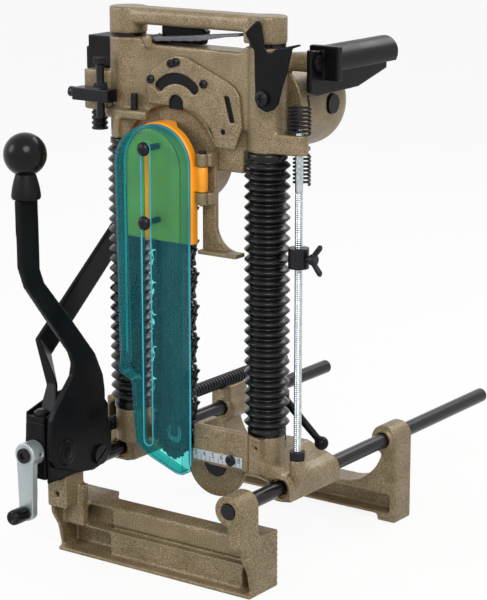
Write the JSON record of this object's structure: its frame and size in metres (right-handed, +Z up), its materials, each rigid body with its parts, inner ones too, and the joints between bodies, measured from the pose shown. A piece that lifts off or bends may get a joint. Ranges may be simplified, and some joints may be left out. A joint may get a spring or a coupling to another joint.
{
  "type": "chain mortiser",
  "caption": "Timber framing chain mortiser: vise on two guide rods, sliding head on two bellowed columns, motor, cutter chain with covers and long feed lever.",
  "frame": {"origin": "floor under the jaws, midway between the two columns", "axes": "+X right along the timber, +Y back from the front jaw to the rear jaw, +Z up"},
  "size_m": [0.29, 0.5445, 0.53],
  "materials": {
    "gold": "hammered gold paint",
    "black_steel": "black oxide",
    "dark_steel": "black oxide fasteners",
    "black_paint": "black satin paint",
    "black_plastic": "black phenolic",
    "zinc": "zinc plated",
    "bronze": "sintered bronze",
    "ground_steel": "ground",
    "scale": "printed aluminium",
    "bellows_rubber": "moulded rubber",
    "winding": "enamelled copper",
    "bar_steel": "ground, oiled",
    "chain_steel": "oiled steel",
    "yellow_paint": "yellow gloss paint",
    "guard_plastic": "translucent blue polycarbonate"
  },
  "bodies": {
    "vise_frame": {"front_jaw": "gold", "guide_rods": "black_steel", "side_plates": "black_steel", "carrier_trunnions": "dark_steel", "fulcrum_bolt": "dark_steel"},
    "screw_carrier": {"carrier_block": "black_paint", "release_lever": "black_paint", "release_ball": "black_plastic", "foot_bolt": "dark_steel"},
    "crank": {"vise_screw": "black_steel", "crank_arm": "zinc", "crank_bolt": "dark_steel"},
    "crank_grip": {"crank_knob": "black_plastic"},
    "rear_vise_jaw": {"rear_jaw": "gold", "half_nut": "bronze"},
    "feed_lever": {"long_lever": "black_paint", "lever_ferrule": "black_plastic", "lever_ball": "black_plastic"},
    "base": {"left_block": "gold", "right_block": "gold", "base_beam": "gold", "rod_bushes": "bronze", "columns": "ground_steel", "scale_plate": "scale", "scale_screw": "dark_steel", "wheel_axle": "ground_steel", "depth_rod": "ground_steel", "depth_rod_nut": "dark_steel", "lock_stud": "dark_steel", "bellows": "bellows_rubber"},
    "travel_wheel": {"gauge_wheel": "gold"},
    "collar": {"stop_collar": "black_steel"},
    "collar_screw": {"wing_bolt": "dark_steel"},
    "lock": {"lock_lever": "black_steel"},
    "head": {"head_casting": "gold", "gear_cover": "gold", "cover_screws": "dark_steel", "top_handle": "gold", "handle_gasket": "bellows_rubber", "guide_sleeves": "ground_steel", "motor_housing": "gold", "stator": "winding", "brush_caps": "black_plastic", "switch_box": "black_plastic", "adjuster": "dark_steel", "side_bracket": "gold", "hinge_pin": "dark_steel", "guide_bar": "bar_steel", "chain_links": "chain_steel", "rod_spring": "dark_steel"},
    "motor_armature": {"armature": "winding"},
    "idler": {"idler_gear": "ground_steel"},
    "output": {"output_shaft": "ground_steel"},
    "bar_nose": {"nose_wheel": "ground_steel"},
    "switch": {"switch_lever": "black_paint"},
    "latch": {"latch_plate": "black_paint"},
    "grip": {"side_grip": "black_paint"},
    "clamp_screw": {"thumb_screw": "dark_steel"},
    "cover": {"chain_cover": "yellow_paint"},
    "guard": {"sliding_guard": "guard_plastic"}
  },
  "joints": [
    {"name": "carrier_tilt", "type": "hinge", "parent": "vise_frame", "child": "screw_carrier", "pos_m": [-0.104, -0.095, 0.1066], "axis": [1, 0, 0], "range_deg": [0, 3]},
    {"name": "crank_turn", "type": "hinge", "parent": "screw_carrier", "child": "crank", "pos_m": [-0.104, -0.13, 0.1146], "axis": [0, 1, 0], "range_deg": [-6120, 2880]},
    {"name": "crank_knob_spin", "type": "hinge", "parent": "crank", "child": "crank_grip", "pos_m": [-0.104, -0.15, 0.0576], "axis": [0, 1, 0], "continuous": true},
    {"name": "rear_jaw_slide", "type": "slide", "parent": "vise_frame", "child": "rear_vise_jaw", "axis": [0, 1, 0], "range_m": [-0.04, 0.085]},
    {"name": "base_slide", "type": "slide", "parent": "vise_frame", "child": "base", "axis": [0, 1, 0], "range_m": [0, 0.045]},
    {"name": "lever_swing", "type": "hinge", "parent": "vise_frame", "child": "feed_lever", "pos_m": [-0.0862, -0.0508, 0.0974], "axis": [1, 0, 0], "range_deg": [0, 35]},
    {"name": "travel_wheel_spin", "type": "hinge", "parent": "base", "child": "travel_wheel", "pos_m": [0.0267, -0.0052, 0.0979], "axis": [0, 1, 0], "continuous": true},
    {"name": "collar_slide", "type": "slide", "parent": "base", "child": "collar", "axis": [0, 0, 1], "range_m": [-0.17, 0.08]},
    {"name": "wing_bolt_spin", "type": "hinge", "parent": "collar", "child": "collar_screw", "pos_m": [0.13, 0, 0.31], "axis": [1, 0, 0], "continuous": true},
    {"name": "lock_lever_swing", "type": "hinge", "parent": "base", "child": "lock", "pos_m": [0.066, 0.045, 0.157], "axis": [0, 0, 1], "range_deg": [0, 60]},
    {"name": "head_slide", "type": "slide", "parent": "base", "child": "head", "axis": [0, 0, 1], "range_m": [-0.084, 0], "stiffness_N_per_m": 600, "springref_m": 0.3, "deforming": ["bellows"]},
    {"name": "armature_spin", "type": "hinge", "parent": "head", "child": "motor_armature", "pos_m": [0.06, 0.06, 0.443], "axis": [0, 1, 0], "continuous": true},
    {"name": "idler_spin", "type": "hinge", "parent": "head", "child": "idler", "pos_m": [0.02733, 0.005, 0.41992], "axis": [0, 1, 0], "continuous": true},
    {"name": "output_spin", "type": "hinge", "parent": "head", "child": "output", "pos_m": [-0.015, -0.01, 0.39], "axis": [0, 1, 0], "continuous": true},
    {"name": "nose_spin", "type": "hinge", "parent": "head", "child": "bar_nose", "pos_m": [-0.015, -0.017, 0.123], "axis": [0, 1, 0], "continuous": true},
    {"name": "switch_press", "type": "hinge", "parent": "head", "child": "switch", "pos_m": [-0.046, 0, 0.5017], "axis": [0, 1, 0], "range_deg": [0, 5], "stiffness_Nm_per_rad": 1, "springref_deg": -17.19},
    {"name": "latch_swing", "type": "hinge", "parent": "head", "child": "latch", "pos_m": [0.0938, -0.026, 0.4586], "axis": [0, 1, 0], "range_deg": [0, 12], "stiffness_Nm_per_rad": 0.3, "springref_deg": -17.19},
    {"name": "grip_press", "type": "hinge", "parent": "head", "child": "grip", "pos_m": [0.118, 0.021, 0.487], "axis": [1, 0, 0], "range_deg": [-12, 0], "stiffness_Nm_per_rad": 2, "springref_deg": 17.19},
    {"name": "thumb_screw_spin", "type": "hinge", "parent": "head", "child": "clamp_screw", "pos_m": [-0.13, -0.0255, 0.447], "axis": [1, 0, 0], "continuous": true},
    {"name": "cover_swing", "type": "hinge", "parent": "head", "child": "cover", "pos_m": [0.021, -0.02, 0.376], "axis": [0, 0, 1], "range_deg": [0, 90]},
    {"name": "guard_slide", "type": "slide", "parent": "cover", "child": "guard", "axis": [0, 0, 1], "range_m": [0, 0.2]}
  ],
  "couplings": [
    {"joint": "rear_jaw_slide", "follows": "crank_turn", "m_per_rad": -0.00079577},
    {"joint": "lever_swing", "follows": "base_slide", "rad_per_m": 13.57},
    {"joint": "idler_spin", "follows": "armature_spin", "ratio": -0.33333},
    {"joint": "output_spin", "follows": "armature_spin", "ratio": 0.15556},
    {"joint": "nose_spin", "follows": "armature_spin", "ratio": 0.15556}
  ]
}
